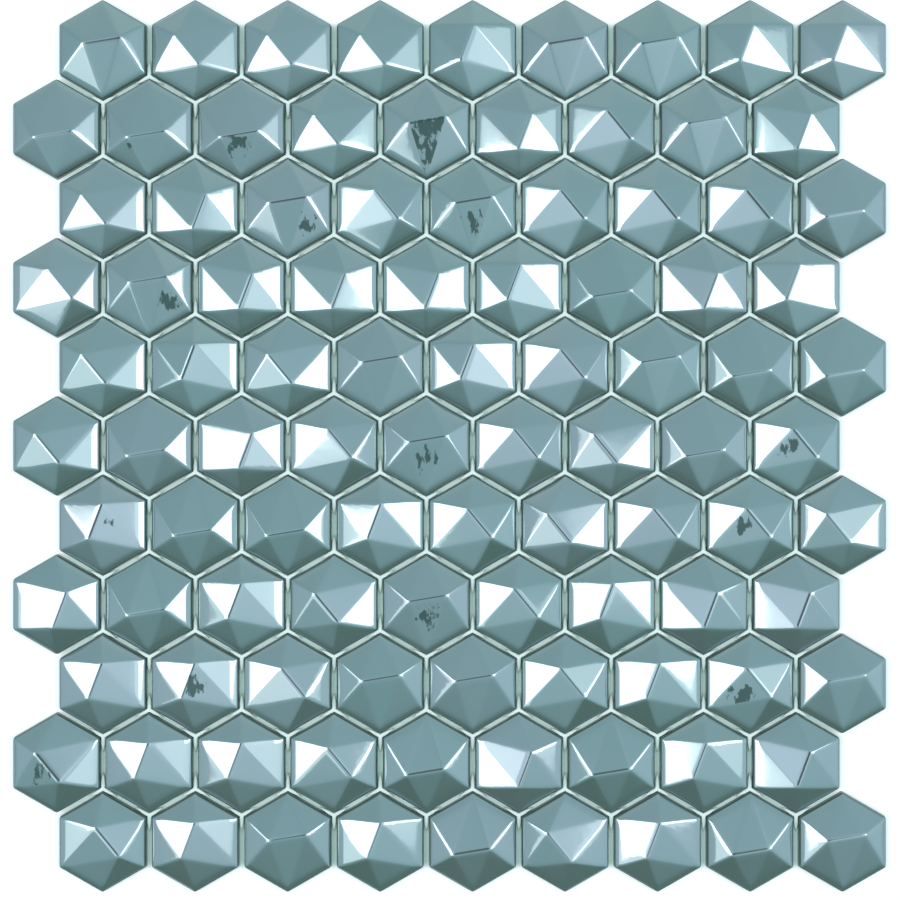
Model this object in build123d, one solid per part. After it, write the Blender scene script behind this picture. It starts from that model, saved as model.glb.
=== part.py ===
from build123d import *
from math import cos, radians, sin, tan
import os

# Hexagon glass mosaic sheet: rows of pressed glass chips, held a joint's width apart by soft dots
# where three chips meet. It lies on the flat backs of the chips, faceted faces up.
# Millimetres. Origin: middle of the back. +Z: out of the faceted face. +Y: towards the top row.

# Glass chip, with two corners pointing along Y
CHIP_ACROSS_CORNERS = 35.5
CORNER_CUT = 0.6
FLANK_DRAFT = 6.0
RIM_HEIGHT = 3.4
RIM_BEVEL = 0.8
PEAK_HEIGHT = 8.0

# The two peaks of the crown, from the middle of a chip that isn't turned
LEFT_PEAK_X = -6.9
LEFT_PEAK_Y = -3.6
RIGHT_PEAK_X = 6.1
RIGHT_PEAK_Y = -1.45

# Sheet: every second row is set half a chip to the left, and the joints between two rows are a
# little narrower than those within a row
ROW_COUNT = 11
CHIPS_IN_ROW = 9
JOINT_WIDTH = 1.6
ROW_JOINT_WIDTH = 1.35

# Joint dot: three arms from its middle, moulded against the flanks of the chips
DOT_REACH = 5.5
DOT_HEIGHT = 1.8

# The chips come from one mould and are laid in any of six ways round. Each digit is one chip's
# turn in sixths of a circle, anticlockwise: rows from the top down, chips from left to right.
TURNS = (
    "355543344",
    "000531231",
    "513232220",
    "231114014",
    "545342300",
    "501232502",
    "400425225",
    "104532411",
    "442332423",
    "544201041",
    "243405403",
)

CHIP_ACROSS_FLATS = CHIP_ACROSS_CORNERS * cos(radians(30))
CHIP_PITCH = CHIP_ACROSS_FLATS + JOINT_WIDTH
ROW_PITCH = (0.75 * CHIP_ACROSS_FLATS + ROW_JOINT_WIDTH - JOINT_WIDTH / 4) / cos(radians(30))


def hexagon_corner(index, height, inset=0.0):
    """Corner of the flanks at a height, counted anticlockwise from +Y, or set in from them."""
    half_flats = CHIP_ACROSS_FLATS / 2 - height * tan(radians(FLANK_DRAFT)) - inset
    reach = half_flats / cos(radians(30))
    angle = radians(90 + 60 * index)
    return Vector(reach * cos(angle), reach * sin(angle), height)


def facet_plane(first, second, third):
    """Plane through three points that run anticlockwise seen from above, so it faces upwards."""
    return Plane(origin=first, x_dir=second - first, z_dir=(second - first).cross(third - first))


def glass_chip():
    """Drafted hexagon with its corners taken off, cut by eight facets between rim and peaks."""
    outline = RegularPolygon(radius=CHIP_ACROSS_CORNERS / 2, side_count=6, rotation=30)
    block = extrude(outline, PEAK_HEIGHT, taper=FLANK_DRAFT)
    upright_edges = block.edges().filter_by(lambda edge: edge.bounding_box().size.Z > PEAK_HEIGHT / 2)
    chip = chamfer(upright_edges, CORNER_CUT)

    left_peak = Vector(LEFT_PEAK_X, LEFT_PEAK_Y, PEAK_HEIGHT)
    right_peak = Vector(RIGHT_PEAK_X, RIGHT_PEAK_Y, PEAK_HEIGHT)
    rim = [hexagon_corner(index, RIM_HEIGHT) for index in range(6)]
    top, upper_left, lower_left, bottom, lower_right, upper_right = rim
    facets = [
        (top, upper_left, left_peak),
        (upper_left, lower_left, left_peak),
        (lower_left, bottom, left_peak),
        (bottom, lower_right, right_peak),
        (lower_right, upper_right, right_peak),
        (upper_right, top, right_peak),
        (top, left_peak, right_peak),
        (bottom, right_peak, left_peak),
    ]
    for index in range(6):
        bevel_foot = RIM_HEIGHT - RIM_BEVEL
        facets.append((
            hexagon_corner(index, bevel_foot),
            hexagon_corner(index + 1, bevel_foot),
            hexagon_corner(index, RIM_HEIGHT, inset=RIM_BEVEL),
        ))
    for corners in facets:
        chip = split(chip, bisect_by=facet_plane(*corners), keep=Keep.BOTTOM)
    return chip


def joint_dot():
    """Three-armed bead whose sides lean out with the flanks; one arm points along +Y."""
    arms = [Vector(0, 1).rotate(Axis.Z, 120 * arm) for arm in range(3)]
    half_widths = [JOINT_WIDTH / 2, ROW_JOINT_WIDTH / 2, ROW_JOINT_WIDTH / 2]
    points = []
    for arm in range(3):
        following = (arm + 1) % 3
        across = arms[arm].rotate(Axis.Z, 90)
        points.append(arms[arm] * DOT_REACH - across * half_widths[arm])
        points.append(arms[arm] * DOT_REACH + across * half_widths[arm])
        crotch = arms[arm] * half_widths[following] + arms[following] * half_widths[arm]
        points.append(crotch * (1 / sin(radians(120))))
    outline = make_face(Polyline(*points, close=True))
    return extrude(outline, DOT_HEIGHT, taper=-FLANK_DRAFT)


def row_y(row):
    return ROW_PITCH * ((ROW_COUNT - 1) / 2 - row)


def chip_x(row, column):
    row_shift = CHIP_PITCH / 4 if row % 2 == 0 else -CHIP_PITCH / 4
    return CHIP_PITCH * (column - (CHIPS_IN_ROW - 1) / 2) + row_shift


def chip_turn(row, column):
    turns_of_row = TURNS[row % len(TURNS)]
    return 60 * int(turns_of_row[column % len(turns_of_row)])


def chip_row(chip, row):
    """The chips of one row, each at its place and turned its own way."""
    placed = []
    for column in range(CHIPS_IN_ROW):
        place = Location((chip_x(row, column), row_y(row), 0), (0, 0, chip_turn(row, column)))
        placed.append(place * chip)
    return placed


def dot_row(dot, row):
    """The dots between a row and the one below it: one over or under each upright joint."""
    to_junction = ROW_PITCH / 2 - CHIP_PITCH / 4 * tan(radians(30))
    placed = []
    for column in range(CHIPS_IN_ROW - 1):
        upper_joint_x = chip_x(row, column) + CHIP_PITCH / 2
        lower_joint_x = chip_x(row + 1, column) + CHIP_PITCH / 2
        placed.append(Location((upper_joint_x, row_y(row) - to_junction, 0)) * dot)
        placed.append(Location((lower_joint_x, row_y(row + 1) + to_junction, 0), (0, 0, 180)) * dot)
    return placed


os.makedirs("parts", exist_ok=True)

chip = glass_chip()
for row in range(ROW_COUNT):
    solids = [piece.solid() for piece in chip_row(chip, row)]
    export_step(Compound(solids), f"parts/glass_chips_row_{row + 1:02d}.step")

dot = joint_dot()
for row in range(ROW_COUNT - 1):
    solids = [piece.solid() for piece in dot_row(dot, row)]
    export_step(Compound(solids), f"parts/joint_dots_{row + 1:02d}.step")
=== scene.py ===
import bpy
import numpy as np
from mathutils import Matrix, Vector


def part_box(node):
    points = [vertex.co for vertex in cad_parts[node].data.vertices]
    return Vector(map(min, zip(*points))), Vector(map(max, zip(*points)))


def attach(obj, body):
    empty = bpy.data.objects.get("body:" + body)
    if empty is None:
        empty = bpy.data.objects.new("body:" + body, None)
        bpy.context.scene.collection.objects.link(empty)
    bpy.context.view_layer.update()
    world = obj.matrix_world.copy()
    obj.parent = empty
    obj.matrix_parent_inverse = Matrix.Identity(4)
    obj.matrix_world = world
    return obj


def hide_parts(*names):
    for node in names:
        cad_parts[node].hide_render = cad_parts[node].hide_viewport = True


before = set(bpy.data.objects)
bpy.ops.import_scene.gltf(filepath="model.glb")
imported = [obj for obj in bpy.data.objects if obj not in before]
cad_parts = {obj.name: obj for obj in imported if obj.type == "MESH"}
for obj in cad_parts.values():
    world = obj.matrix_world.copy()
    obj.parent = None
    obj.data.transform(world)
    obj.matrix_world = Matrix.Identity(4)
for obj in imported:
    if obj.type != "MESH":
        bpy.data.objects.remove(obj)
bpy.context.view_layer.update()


# Glass chips
# Hexagons of coloured glass, pressed in one mould and coated with a thin pearl film that mirrors.
# The crown has two peaks and eight facets; ridges and rim are softly rounded from the pressing.
# The chips lie in staggered rows and are laid in any of six ways round.

MM = 0.001
ROW_COUNT = 11
CHIPS_IN_ROW = 9
CHIP_HALF_FLATS = 35.5 * MM / 2 * np.cos(np.radians(30))
CORNER_RADIUS = 1.1 * MM
FLANK_LEAN = np.radians(6)
FLANK_SLOPE = np.tan(FLANK_LEAN)
BACK_EDGE = 0.25 * MM
RIM_HEIGHT = 3.4 * MM
PEAK_HEIGHT = 8.0 * MM
LEFT_PEAK = np.array([-6.9 * MM, -3.6 * MM, PEAK_HEIGHT])
RIGHT_PEAK = np.array([6.1 * MM, -1.45 * MM, PEAK_HEIGHT])
RIDGE_ROUND = 0.82 * MM
# Towards the rim a facet bends down over a border, and a fillet leads on to the flank.
BORDER_WIDTH = 2.4 * MM
BORDER_SLOPE = 0.32
FILLET_REACH = 0.5 * MM
RIM_EDGE = RIM_HEIGHT - BORDER_SLOPE * BORDER_WIDTH / 2
FLANK_TOP = RIM_EDGE - FILLET_REACH * np.cos(FLANK_LEAN)
CROWN_HALF_FLATS = CHIP_HALF_FLATS - FLANK_TOP * FLANK_SLOPE


def outline_point(half_flats, position):
    """Point of a hexagon with rounded corners, corners along Y.

    position counts corners: 0 is the middle of the corner on +Y, 1 the next one anticlockwise. Of
    each step the first and last part run along the corner's arc, and the rest along the flat.
    """
    side = np.floor(position)
    along = position - side
    arc_share = 0.1
    flat_normal = np.radians(120 + 60 * side)
    half_flat = (half_flats - CORNER_RADIUS) * np.tan(np.radians(30))
    slide = np.clip((along - 0.5) / (0.5 - arc_share), -1, 1) * half_flat
    first_bend = np.clip(1 - along / arc_share, 0, 1)
    last_bend = np.clip(1 - (1 - along) / arc_share, 0, 1)
    bend = flat_normal + np.radians(30) * (last_bend - first_bend)
    inner = half_flats - CORNER_RADIUS
    x = inner * np.cos(flat_normal) - slide * np.sin(flat_normal) + CORNER_RADIUS * np.cos(bend)
    y = inner * np.sin(flat_normal) + slide * np.cos(flat_normal) + CORNER_RADIUS * np.sin(bend)
    return np.stack([x, y], -1)


def side_depths(half_flats, points):
    """How far points lie inside each side of a hexagon with rounded corners.

    By a corner every depth is less by as much as the arc there lies inside the sharp corner.
    """
    angles = np.radians(120 + 60 * np.arange(6))
    depths = half_flats - points @ np.stack([np.cos(angles), np.sin(angles)])
    two_least = np.sort(depths, -1)[..., :2]
    first, second = np.moveaxis(CORNER_RADIUS - two_least, -1, 0)
    from_centre = np.sqrt((first ** 2 + second ** 2 - first * second) / 0.75)
    by_corner = (second > first / 2) & (first > 0)
    arc_cut = np.where(by_corner, from_centre - first, 0.0)
    return depths - arc_cut[..., None]


def rim_corner(index):
    """Sharp corner of the rim, counted anticlockwise from +Y."""
    angle = np.radians(90 + 60 * index)
    reach = (CHIP_HALF_FLATS - RIM_HEIGHT * FLANK_SLOPE) / np.cos(np.radians(30))
    return np.array([reach * np.cos(angle), reach * np.sin(angle), RIM_HEIGHT])


def crown_facets():
    """The eight facet planes as rows (a, b, c) of z = a x + b y + c.

    First the two between a rim corner and both peaks, then the six between a rim side and one peak.
    """
    corners = [rim_corner(index) for index in range(6)]
    spans = [(corners[0], LEFT_PEAK, RIGHT_PEAK), (corners[3], LEFT_PEAK, RIGHT_PEAK)]
    for index in range(6):
        peak = LEFT_PEAK if index < 3 else RIGHT_PEAK
        spans.append((corners[index], corners[(index + 1) % 6], peak))
    points = np.array(spans)
    matrices = np.concatenate([points[..., :2], np.ones((len(spans), 3, 1))], -1)
    return np.linalg.solve(matrices, points[..., 2:])[..., 0]


def crown_height(points):
    """Height of the crown: the lowest of its facets at each point, averaged over a small disc.

    Six facets rise from a side: an arc from the flank, a border that bends, then a plane. The two
    others are planes. The disc rounds every ridge to one width and shrinks to nothing at the outline.
    """
    planes = crown_facets()
    slope = np.hypot(planes[2:, 0], planes[2:, 1])
    lean = np.arctan(slope + BORDER_SLOPE)
    radius = FILLET_REACH / np.tan((np.pi / 2 - FLANK_LEAN - lean) / 2)
    centre_depth = FILLET_REACH * np.cos(lean) + radius * np.sin(lean)
    centre_height = RIM_EDGE + FILLET_REACH * np.sin(lean) - radius * np.cos(lean)

    turns = np.linspace(0, 2 * np.pi, 12, endpoint=False)
    turns = np.concatenate([turns, turns + 0.17, turns + 0.34])
    rings = np.repeat([0.35, 0.7, 1.0], 12)
    disc = RIDGE_ROUND * rings[:, None] * np.stack([np.cos(turns), np.sin(turns)], -1)
    shrink = np.clip(side_depths(CROWN_HALF_FLATS, points).min(-1) / RIDGE_ROUND * 0.9, 0, 1)
    spread = points[..., None, :] + shrink[..., None, None] * disc

    depth = side_depths(CROWN_HALF_FLATS, spread) - FILLET_REACH * np.sin(FLANK_LEAN)
    bend = BORDER_SLOPE / (2 * BORDER_WIDTH) * np.maximum(BORDER_WIDTH - depth, 0) ** 2
    from_side = RIM_HEIGHT + slope * depth - bend
    arc = centre_height + np.sqrt(np.maximum(radius ** 2 - (depth - centre_depth) ** 2, 0))
    from_side = np.where(depth < FILLET_REACH * np.cos(lean), arc, from_side)
    from_peaks = spread @ planes[:2, :2].T + planes[:2, 2]
    return np.minimum(from_side.min(-1), from_peaks.min(-1)).mean(-1)


def grid_faces(rows, columns):
    """Quads of a grid of points stored row by row."""
    corner = np.arange(rows * columns).reshape(rows, columns)
    quads = [corner[:-1, :-1], corner[:-1, 1:], corner[1:, 1:], corner[1:, :-1]]
    return np.stack(quads, -1).reshape(-1, 4)


def weld(points, quads):
    """Makes points at the same place one point, and also says which of the points are kept."""
    same_place = 1e-8
    places = np.round(points / same_place).astype(np.int64)
    _, kept, number = np.unique(places, axis=0, return_index=True, return_inverse=True)
    return points[kept], number.ravel()[quads], kept


def closed_faces(quads):
    """Quads as face lists; one with two neighbouring corners in the same point becomes a triangle."""
    pinched = quads == np.roll(quads, -1, axis=1)
    triangles = pinched.sum(1) == 1
    corners = quads[triangles][~pinched[triangles]].reshape(-1, 3)
    return [*quads[~pinched.any(1)].tolist(), *corners.tolist()]


def chip_shape():
    """One chip: points, quads and, for each point, the number of its facet.

    Six patches run from a side of the rim to a peak, two from a rim corner to the ridge between the
    peaks, and a band carries the flank's profile round the outline. Rows of a patch crowd at the rim
    and at the peak, columns at the ridges.
    """
    to_peak = np.array([0, 0.004, 0.01, 0.018, 0.028, 0.042, 0.062, 0.09, 0.13, 0.18, 0.25, 0.4, 0.6,
                        0.78, 0.89, 0.95, 0.98, 1])
    along_side = np.array([0, 0.033, 0.066, 0.1, 0.125, 0.17, 0.3, 0.5, 0.7, 0.83, 0.875, 0.9, 0.934,
                           0.967, 1])
    across = np.array([0, 0.02, 0.05, 0.1, 0.25, 0.5, 0.75, 0.9, 0.95, 0.98, 1])
    plans = []
    for side in range(6):
        rim = outline_point(CROWN_HALF_FLATS, side + along_side)
        peak = (LEFT_PEAK if side < 3 else RIGHT_PEAK)[:2]
        plans.append((side + 2, rim + to_peak[:, None, None] * (peak - rim)))
    for facet, corner, first, second in ((0, 0.0, RIGHT_PEAK, LEFT_PEAK), (1, 3.0, LEFT_PEAK, RIGHT_PEAK)):
        apex = outline_point(CROWN_HALF_FLATS, np.array(corner))
        ridge = first[:2] + across[:, None] * (second[:2] - first[:2])
        plans.append((facet, apex + to_peak[:, None, None] * (ridge - apex)))
    patches = [(facet, np.concatenate([plan, crown_height(plan)[..., None]], -1)) for facet, plan in plans]

    position = np.append((np.arange(6)[:, None] + along_side[:-1]).ravel(), 0.0)
    profile_height = np.array([0.0, BACK_EDGE, FLANK_TOP / 2, FLANK_TOP])[:, None]
    profile_inset = np.array([BACK_EDGE / 2, 0.0, 0.0, 0.0])[:, None]
    rings = outline_point(CHIP_HALF_FLATS - profile_height * FLANK_SLOPE - profile_inset, position)
    ring_height = np.broadcast_to(profile_height[..., None], (*rings.shape[:2], 1))
    no_facet = -1
    patches.append((no_facet, np.concatenate([rings, ring_height], -1)))

    quads = []
    first_point = 0
    for _, patch in patches:
        quads.append(grid_faces(*patch.shape[:2]) + first_point)
        first_point += patch.shape[0] * patch.shape[1]
    points = np.concatenate([patch.reshape(-1, 3) for _, patch in patches])
    facet_of_point = np.concatenate([np.full(patch[..., 0].size, facet) for facet, patch in patches])
    points, quads, kept = weld(points, np.concatenate(quads))
    return points, quads, facet_of_point[kept]


def chip_back(points):
    """The corner numbers of the flat back, clockwise seen from above."""
    on_back = np.flatnonzero(points[:, 2] < BACK_EDGE / 4)
    angle = np.arctan2(points[on_back, 1], points[on_back, 0])
    return on_back[np.argsort(-angle)]


def chip_places(row):
    """Centres and turns of the chips of one row, read from the row's solids.

    The left peak lies farther from a chip's middle than the right one. Its angle, less its angle in
    a chip that isn't turned, is the turn, to the nearest sixth of a circle.
    """
    node = f"glass_chips_row_{row:02d}"
    low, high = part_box(node)
    along_row = np.linspace(low.x + CHIP_HALF_FLATS, high.x - CHIP_HALF_FLATS, CHIPS_IN_ROW)
    centres = np.column_stack([along_row, np.full(CHIPS_IN_ROW, (low.y + high.y) / 2)])
    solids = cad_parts[node].data
    corners = np.zeros(len(solids.vertices) * 3, np.float32)
    solids.vertices.foreach_get("co", corners)
    corners = corners.reshape(-1, 3)
    peaks = corners[corners[:, 2] > PEAK_HEIGHT - 0.05 * MM]
    chip = np.abs(peaks[:, :1] - centres[:, 0]).argmin(1)
    reach = peaks[:, :2] - centres[chip]
    between_peaks = (np.hypot(*LEFT_PEAK[:2]) + np.hypot(*RIGHT_PEAK[:2])) / 2
    is_left = np.hypot(*reach.T) > between_peaks
    angle = np.arctan2(reach[:, 1], reach[:, 0]) - np.arctan2(LEFT_PEAK[1], LEFT_PEAK[0])
    turns = np.zeros(CHIPS_IN_ROW)
    turns[chip[is_left]] = np.round(angle[is_left] / np.radians(60)) * np.radians(60)
    return centres, turns


class Shade:
    """A socket of a material's node tree. Arithmetic on it adds Math nodes."""

    def __init__(self, tree, socket=None):
        self.tree = tree
        self.socket = socket

    def node(self, kind, settings=None, sockets=None, output=0):
        """Adds a node: its settings first, a ramp's stops among them, then its values or links."""
        made = self.tree.nodes.new(kind)
        for name, value in (settings or {}).items():
            if name == "stops":
                ramp = made.color_ramp
                while len(ramp.elements) < len(value):
                    ramp.elements.new(1.0)
                for element, (place, colour) in zip(ramp.elements, value):
                    element.position = place
                    element.color = colour
            else:
                setattr(made, name, value)
        for name, value in (sockets or {}).items():
            if isinstance(value, Shade):
                self.tree.links.new(value.socket, made.inputs[name])
            else:
                made.inputs[name].default_value = value
        return Shade(self.tree, made.outputs[output] if made.outputs else None)

    def math(self, operation, first, second=0.0):
        return self.node("ShaderNodeMath", {"operation": operation}, {0: first, 1: second})

    def __add__(self, other):
        return self.math("ADD", self, other)

    __radd__ = __add__

    def __sub__(self, other):
        return self.math("SUBTRACT", self, other)

    def __rsub__(self, other):
        return self.math("SUBTRACT", other, self)

    def __mul__(self, other):
        return self.math("MULTIPLY", self, other)

    __rmul__ = __mul__

    def __abs__(self):
        return self.math("ABSOLUTE", self)

    def step(self, low, high):
        """0 below low, 1 above high, smooth between them."""
        return self.node("ShaderNodeMapRange", {"interpolation_type": "SMOOTHSTEP"},
                         {"Value": self, "From Min": low, "From Max": high})

    def mix(self, first, second):
        """Blends two colours by this value."""
        return self.node("ShaderNodeMix", {"data_type": "RGBA"}, {0: self, 6: first, 7: second}, output=2)

    def part(self, axis):
        """The X, Y or Z of a vector."""
        return self.node("ShaderNodeSeparateXYZ", {}, {0: self}, output=axis)

    def coordinates(self, kind):
        return self.node("ShaderNodeTexCoord", output=kind)

    def attribute(self, name, output="Fac"):
        return self.node("ShaderNodeAttribute", {"attribute_name": name}, output=output)

    def noise(self, coordinates, scale, detail, roughness=0.5):
        return self.node("ShaderNodeTexNoise", {}, {
            "Vector": coordinates, "Scale": scale, "Detail": detail, "Roughness": roughness})


def new_material(name):
    """An empty material and the start of its node tree."""
    material = bpy.data.materials.new(name)
    material.use_nodes = True
    material.node_tree.nodes.clear()
    return material, Shade(material.node_tree)


FILM_TEAL = (0.305, 0.39, 0.395, 1)
FILM_GREY = (0.345, 0.397, 0.42, 1)
WORN_GLASS = (0.06, 0.10, 0.095, 1)
FLANK_GLASS = (0.06, 0.10, 0.09, 1)
FILM_MIRROR = 0.77


def pearl_glass():
    """Pearl film on glass: a tinted mirror over a dimmer body, uneven from chip to chip.

    The film doesn't reach the steep flanks, and is worn off in streaks around a chip's worn spot.
    """
    material, shade = new_material("pearl_glass")
    place = shade.coordinates("Object")
    flank = 1 - shade.coordinates("Normal").part("Z").step(0.68, 0.81)

    cloud = shade.noise(place, scale=45.0, detail=2.0)
    film = (shade.attribute("film_tone") * 0.75 + cloud * 0.5 - 0.12).mix(FILM_TEAL, FILM_GREY)

    along_y = shade.node("ShaderNodeVectorMath", {"operation": "MULTIPLY"}, {0: place, 1: (1.0, 0.45, 1.0)})
    streaks = shade.noise(along_y, scale=430.0, detail=5.0, roughness=0.62)
    from_spot = shade.node("ShaderNodeVectorMath", {"operation": "LENGTH"},
                           {0: shade.attribute("worn_place", "Vector")}, output="Value")
    worn = ((streaks - 0.5) * 5.0 + 0.62 - from_spot).step(0.0, 0.3)
    worn = worn * shade.attribute("worn_facet").step(0.4, 0.6)
    colour = flank.mix(worn.mix(film, WORN_GLASS), FLANK_GLASS)

    waves = shade.noise(place, scale=170.0, detail=1.0)
    pits = shade.noise(place, scale=1500.0, detail=2.0)
    relief = (waves - 0.5) * shade.attribute("film_ripple") + (pits - 0.5) * 0.035 - worn * 0.1
    bump = shade.node("ShaderNodeBump", {}, {"Strength": 1.0, "Distance": 0.02 * MM, "Height": relief})
    surface = shade.node("ShaderNodeBsdfPrincipled", {}, {
        "Base Color": colour,
        "Metallic": (FILM_MIRROR - worn * 0.5) * (1 - flank),
        "Roughness": 0.045 + pits * 0.03 + worn * 0.08 + flank * 0.15,
        "Normal": bump,
        "IOR": 1.5,
    })
    shade.node("ShaderNodeOutputMaterial", {}, {"Surface": surface})
    return material


# Chips whose film is worn off in a spot, by row and place in the row: where the spot is from the
# middle of the chip, and its reach, in millimetres.
WORN_SPOTS = {
    (2, 2): (-6.8, -6.4, 1.8),
    (2, 3): (-1.2, -5.2, 6.2),
    (2, 5): (0.0, -5.0, 15.0),
    (3, 3): (6.1, -6.1, 4.6),
    (3, 5): (0.0, -4.9, 4.8),
    (4, 2): (7.1, -5.7, 4.4),
    (6, 5): (-0.4, -4.1, 4.4),
    (6, 9): (-2.4, 0.8, 4.6),
    (7, 1): (3.4, 1.1, 1.8),
    (7, 8): (-3.2, 0.1, 4.2),
    (8, 5): (0.6, -3.6, 4.6),
    (9, 2): (0.7, -0.5, 4.2),
    (9, 8): (-3.0, -3.9, 4.8),
    (10, 1): (-5.6, -3.1, 4.4),
}
FAR_FROM_CHIP = (99.0, 99.0, 1.0)

chip_points, chip_quads, chip_facet = chip_shape()
chip_back_corners = chip_back(chip_points)
chip_material = pearl_glass()
chip_rng = np.random.default_rng(11)


def worn_film(row, turns, from_middle):
    """Which points lie in the facet under the chip's worn spot, and how far from the spot.

    The spot is turned back with its chip, and the lowest facet plane there is the facet it is in.
    The way from the spot is measured in its reach.
    """
    chips = range(1, len(turns) + 1)
    spots = np.array([WORN_SPOTS.get((row, chip), FAR_FROM_CHIP) for chip in chips]) * MM
    unturned_x = spots[:, 0] * np.cos(turns) + spots[:, 1] * np.sin(turns)
    unturned_y = spots[:, 1] * np.cos(turns) - spots[:, 0] * np.sin(turns)
    planes = crown_facets()
    height = np.outer(unturned_x, planes[:, 0]) + np.outer(unturned_y, planes[:, 1]) + planes[:, 2]
    in_facet = chip_facet == height.argmin(1)[:, None]
    away = (from_middle - spots[:, None, :2]) / spots[:, None, 2:]
    return in_facet, np.concatenate([away, np.zeros_like(away[..., :1])], -1)


def chip_row(row):
    """The chips of one row as one mesh: the one shape, turned and set down at each chip's place."""
    centres, turns = chip_places(row)
    cos_turn = np.cos(turns)[:, None]
    sin_turn = np.sin(turns)[:, None]
    x = chip_points[:, 0] * cos_turn - chip_points[:, 1] * sin_turn
    y = chip_points[:, 0] * sin_turn + chip_points[:, 1] * cos_turn
    from_middle = np.stack([x, y], -1)
    height = np.broadcast_to(chip_points[:, 2:], (*x.shape, 1))
    points = np.concatenate([from_middle + centres[:, None], height], -1).reshape(-1, 3)
    first_points = np.arange(len(centres)) * len(chip_points)
    faces = closed_faces((chip_quads + first_points[:, None, None]).reshape(-1, 4))
    backs = (chip_back_corners + first_points[:, None]).tolist()

    mesh = bpy.data.meshes.new(f"faceted_chips_row_{row:02d}")
    mesh.from_pydata(points, [], [*faces, *backs])
    mesh.polygons.foreach_set("use_smooth", np.repeat([True, False], [len(faces), len(backs)]))
    mesh.materials.append(chip_material)

    tone = chip_rng.random(len(centres))
    ripple = 0.25 + 0.75 * chip_rng.random(len(centres)) ** 3
    worn_facet, worn_place = worn_film(row, turns, from_middle)
    values = {
        "film_tone": np.repeat(tone, len(chip_points)),
        "film_ripple": np.repeat(ripple, len(chip_points)),
        "worn_facet": worn_facet.ravel(),
    }
    for name, value in values.items():
        attribute = mesh.attributes.new(name, "FLOAT", "POINT")
        attribute.data.foreach_set("value", value.astype(np.float32))
    attribute = mesh.attributes.new("worn_place", "FLOAT_VECTOR", "POINT")
    attribute.data.foreach_set("vector", worn_place.astype(np.float32).ravel())
    mesh.validate()

    piece = bpy.data.objects.new(mesh.name, mesh)
    bpy.context.scene.collection.objects.link(piece)
    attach(piece, "root")
    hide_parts(f"glass_chips_row_{row:02d}")


for row in range(1, ROW_COUNT + 1):
    chip_row(row)


# Joint dots
# Small three-armed beads of pale soft plastic, moulded into each place where three chips meet.
# They keep the joints even and hold the sheet together.

DOT_REACH = 5.5 * MM
DOT_HEIGHT = 1.8 * MM
DOT_HALF_WIDTHS = np.array([1.6, 1.35, 1.35]) * MM / 2


def dot_shape():
    """One bead as rings: out from the middle of the foot, up the sides, over a soft shoulder and in.

    Towards an arm the outline is the nearer of the arm's end and its side, rounded where they meet.
    """
    turn = np.linspace(0, 2 * np.pi, 25)
    nearest_arm = np.round(turn / np.radians(120))
    off_axis = turn - nearest_arm * np.radians(120)
    half_width = DOT_HALF_WIDTHS[nearest_arm.astype(int) % 3]
    to_end = DOT_REACH / np.cos(off_axis)
    to_side = half_width / np.maximum(np.abs(np.sin(off_axis)), 1e-6)
    reach = (to_end ** -6 + to_side ** -6) ** (-1 / 6)
    share = np.array([0.0, 1.0, 1.03, 0.86, 0.45, 0.0])[:, None]
    height = np.array([0.0, 0.0, 0.72, 0.95, 1.0, 1.0])[:, None] * DOT_HEIGHT
    x = -reach * share * np.sin(turn)
    y = reach * share * np.cos(turn)
    return np.stack([x, y, np.broadcast_to(height, x.shape)], -1)


DOT_CLEAR = (0.80, 0.88, 0.82, 1)
DOT_MILKY = (0.90, 0.95, 0.91, 1)
# Painted shade for the upright arm, which lies in an upright joint that gets less light.
DOT_PAINTED_SHADE = (0.66, 0.73, 0.67, 1)


def dot_plastic():
    """Pale soft plastic, a little cloudy, with a satin skin, and painted shade greying the upright arm."""
    material, shade = new_material("joint_dot_plastic")
    place = shade.coordinates("Object")
    cloud = shade.noise(place, scale=260.0, detail=3.0)
    # Painted shade greys the upright arm.
    colour = shade.attribute("upright_arm").mix(cloud.mix(DOT_CLEAR, DOT_MILKY), DOT_PAINTED_SHADE)
    grain = shade.noise(place, scale=1400.0, detail=2.0)
    bump = shade.node("ShaderNodeBump", {}, {"Strength": 0.6, "Distance": 0.04 * MM, "Height": grain})
    surface = shade.node("ShaderNodeBsdfPrincipled", {}, {
        "Base Color": colour, "Roughness": 0.35 + grain * 0.2, "Normal": bump})
    shade.node("ShaderNodeOutputMaterial", {}, {"Surface": surface})
    return material


dot_grid = dot_shape()
dot_quads = grid_faces(*dot_grid.shape[:2])
dot_points = dot_grid.reshape(-1, 3)
# How much painted shade each point gets: none at the bead's middle, full towards the upright arm's end.
dot_painted_upright_shade = np.clip((dot_points[:, 1] - 0.8 * MM) / (3 * MM), 0, 1)
dot_material = dot_plastic()


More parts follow.
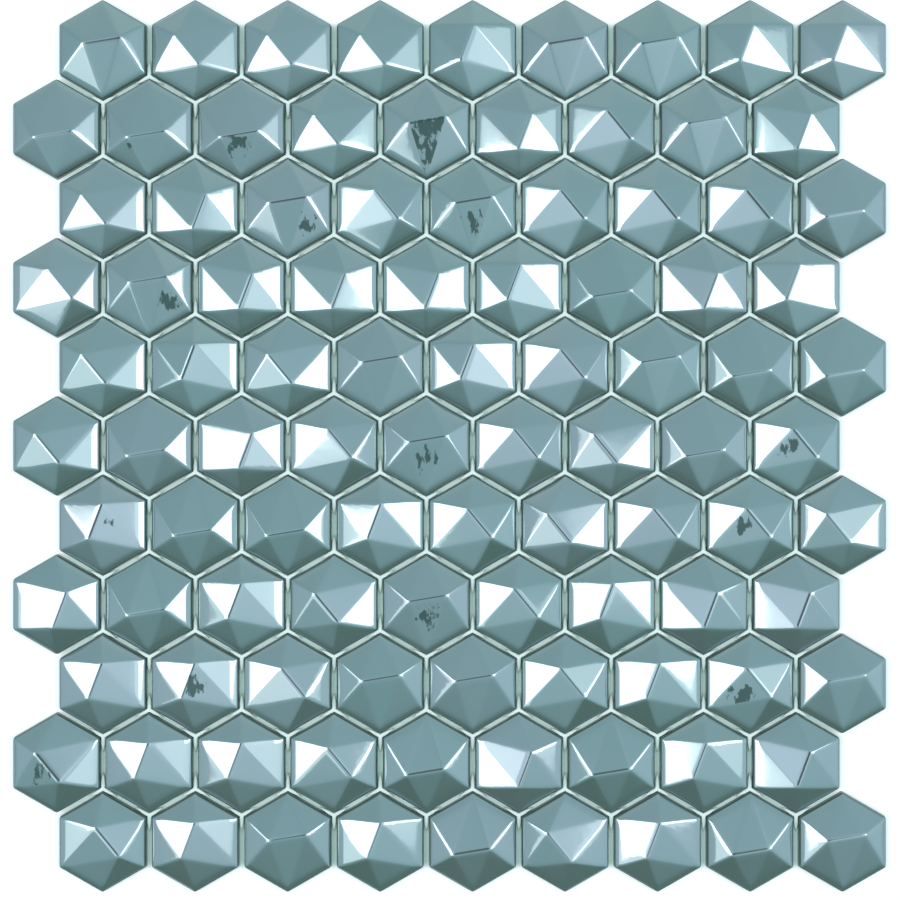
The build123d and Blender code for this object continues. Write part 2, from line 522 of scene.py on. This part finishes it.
def dot_row(row):
    """The beads between a row of chips and the next one, at the ends of the upright joints."""
    upper, _ = chip_places(row)
    lower, _ = chip_places(row + 1)
    chip_pitch = upper[1, 0] - upper[0, 0]
    row_pitch = upper[0, 1] - lower[0, 1]
    to_junction = row_pitch / 2 - chip_pitch / 4 * np.tan(np.radians(30))
    over = upper[:-1] + [chip_pitch / 2, -to_junction]
    under = lower[:-1] + [chip_pitch / 2, to_junction]
    centres = np.concatenate([over, under])
    facing = np.repeat([1.0, -1.0], [len(over), len(under)])[:, None, None]
    plan = dot_points[:, :2] * facing + centres[:, None]
    height = np.broadcast_to(dot_points[:, 2:], (*plan.shape[:2], 1))
    first_points = np.arange(len(centres)) * len(dot_points)
    points, quads, kept = weld(np.concatenate([plan, height], -1).reshape(-1, 3),
                               (dot_quads + first_points[:, None, None]).reshape(-1, 4))

    mesh = bpy.data.meshes.new(f"joint_beads_{row:02d}")
    mesh.from_pydata(points, [], closed_faces(quads))
    mesh.validate()
    mesh.polygons.foreach_set("use_smooth", np.ones(len(mesh.polygons), bool))
    mesh.materials.append(dot_material)
    upright_arm = np.tile(dot_painted_upright_shade, len(centres))[kept]
    attribute = mesh.attributes.new("upright_arm", "FLOAT", "POINT")
    attribute.data.foreach_set("value", upright_arm.astype(np.float32))

    piece = bpy.data.objects.new(mesh.name, mesh)
    bpy.context.scene.collection.objects.link(piece)
    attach(piece, "root")
    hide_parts(f"joint_dots_{row:02d}")


for row in range(1, ROW_COUNT):
    dot_row(row)


# Floor
# A plain white table under the sheet. To the camera and in mirrors it glows a little, so it reads as
# white and still takes the sheet's shadow. In the joints the glow is dimmer and greener: painted
# shade between the chips, tinted as by light that has come off green glass.

FLOOR_HALF = 30.0
FLOOR_WHITE = (0.86, 0.86, 0.86, 1)
NO_GLOW = (0, 0, 0, 1)
# Painted shade: the joints' glow, dimmer and greener than around the sheet.
JOINT_PAINTED_SHADE_GLOW = (0.10, 0.18, 0.14, 1)
GLOW_AROUND = (0.33, 0.33, 0.33, 1)


def white_floor():
    """Matt white, with its glow around the sheet, and in the joints a dimmer, greener glow that is painted
    shade.
    """
    material, shade = new_material("white_floor")
    seen = shade.node("ShaderNodeLightPath", output="Is Camera Ray")
    seen = seen + shade.node("ShaderNodeLightPath", output="Is Glossy Ray")
    seen = seen + shade.node("ShaderNodeLightPath", output="Is Transmission Ray")
    place = shade.coordinates("Object")
    # Inside the sheet's outline the glow is painted shade for the joints; outside it the floor glows white.
    beside = abs(place.part("X")).step(0.132, 0.138)
    beyond = abs(place.part("Y")).step(0.1455, 0.149)
    glow = shade.math("MAXIMUM", beside, beyond).mix(JOINT_PAINTED_SHADE_GLOW, GLOW_AROUND)
    surface = shade.node("ShaderNodeBsdfPrincipled", {}, {
        "Base Color": FLOOR_WHITE, "Roughness": 1.0, "Specular IOR Level": 0.0,
        "Emission Color": seen.mix(NO_GLOW, glow), "Emission Strength": 1.0})
    shade.node("ShaderNodeOutputMaterial", {}, {"Surface": surface})
    return material


floor_corners = np.array([(-1, -1, 0), (1, -1, 0), (1, 1, 0), (-1, 1, 0)]) * FLOOR_HALF
floor_mesh = bpy.data.meshes.new("floor")
floor_mesh.from_pydata(floor_corners, [], [(0, 1, 2, 3)])
floor_mesh.materials.append(white_floor())
floor = bpy.data.objects.new("floor", floor_mesh)
floor.location.z = -0.05 * MM
bpy.context.scene.collection.objects.link(floor)


# Light
# Two large softboxes hang over the sheet, one to the left and one to the right, each with a dimmer
# border. The room is an even blue-green grey, dark low on the near side, with a soft glow between
# the softboxes and a dark place straight overhead.

LAMP_HEIGHT = 4.0


def softbox(name, left, right, near, far, radiance):
    """A lamp that faces down between two edges in x and two in y: power is radiance x pi x area."""
    lamp = bpy.data.lights.new(name, "AREA")
    lamp.shape = "RECTANGLE"
    lamp.size = right - left
    lamp.size_y = far - near
    lamp.energy = radiance * np.pi * lamp.size * lamp.size_y
    holder = bpy.data.objects.new(name, lamp)
    holder.location = ((left + right) / 2, (near + far) / 2, LAMP_HEIGHT)
    holder.visible_camera = False
    bpy.context.scene.collection.objects.link(holder)


softbox("left_softbox", left=-4.55, right=-1.85, near=-1.25, far=0.82, radiance=3.8)
softbox("left_border", left=-5.4, right=-1.6, near=-2.1, far=0.98, radiance=1.1)
softbox("right_softbox", left=2.3, right=5.05, near=-0.7, far=0.84, radiance=3.8)
softbox("right_border", left=1.85, right=5.4, near=-1.1, far=1.3, radiance=0.75)

# The walls' colour by how far a direction points to the far side, from -1 to 1.
ROOM_WALLS = (
    (-0.78, (0.08, 0.17, 0.12, 1)),
    (-0.62, (0.28, 0.46, 0.47, 1)),
    (-0.50, (0.37, 0.62, 0.64, 1)),
    (-0.35, (0.40, 0.64, 0.67, 1)),
    (0.40, (0.42, 0.65, 0.70, 1)),
    (0.70, (0.47, 0.68, 0.72, 1)),
    (0.82, (0.60, 0.79, 0.80, 1)),
    (1.00, (0.66, 0.84, 0.86, 1)),
)
ROOM_TURN = 0.05
ROOM_GLOW = (1.22, 1.16, 1.40, 1)
ROOM_OVERHEAD = (0.03, 0.04, 0.04, 1)


def bell(value, middle, spread):
    """1 in the middle, falling off as a bell curve to both sides."""
    off_middle = (value - middle) * (1 / spread)
    return value.math("EXPONENT", off_middle * off_middle * -1.0)


world = bpy.data.worlds.new("studio_room")
world.use_nodes = True
world.node_tree.nodes.clear()
room = Shade(world.node_tree)
direction = room.coordinates("Generated")
to_right = direction.part("X")
to_far = direction.part("Y") - to_right * ROOM_TURN
wall_stops = [((place + 1) / 2, colour) for place, colour in ROOM_WALLS]
walls = room.node("ShaderNodeValToRGB", {"stops": wall_stops}, {0: to_far * 0.5 + 0.5})
glow = (bell(to_right, 0.0, 0.42) * 0.72 + 0.28) * bell(to_far, -0.05, 0.30)
glow = glow * direction.part("Z").step(0.0, 0.3) * (abs(to_right).step(0.02, 0.30) * 0.85 + 0.15)
lit_walls = room.node("ShaderNodeMix", {"data_type": "RGBA", "blend_type": "ADD", "clamp_result": False},
                      {0: glow, 6: walls, 7: ROOM_GLOW}, output=2)
from_overhead = room.node("ShaderNodeVectorMath", {"operation": "DISTANCE"},
                          {0: direction, 1: (0, -0.02, 1)}, output="Value")
room_colour = from_overhead.step(0.11, 0.26).mix(ROOM_OVERHEAD, lit_walls)
brighter_right = room.node("ShaderNodeVectorMath", {"operation": "SCALE"},
                           {0: room_colour, "Scale": to_right * 0.16 + 1.04})
room_light = room.node("ShaderNodeBackground", {}, {"Color": brighter_right, "Strength": 1.0})
room.node("ShaderNodeOutputWorld", {}, {"Surface": room_light})
bpy.context.scene.world = world
bpy.context.scene.view_settings.view_transform = "Standard"


# Camera
# Straight above the sheet and square to it. The lens takes in the width of view at the height of
# the chips' rims.

CAMERA_HEIGHT = 0.707
CAMERA_X = 0.17 * MM
CAMERA_Y = -1.43 * MM
VIEW_WIDTH = 0.31433
camera_lens = bpy.data.cameras.new("camera")
camera_lens.sensor_width = 36.0
camera_lens.lens = camera_lens.sensor_width * (CAMERA_HEIGHT - RIM_HEIGHT) / VIEW_WIDTH
camera_lens.clip_start = 0.01
camera = bpy.data.objects.new("camera", camera_lens)
camera.location = (CAMERA_X, CAMERA_Y, CAMERA_HEIGHT)
bpy.context.scene.collection.objects.link(camera)
bpy.context.scene.camera = camera
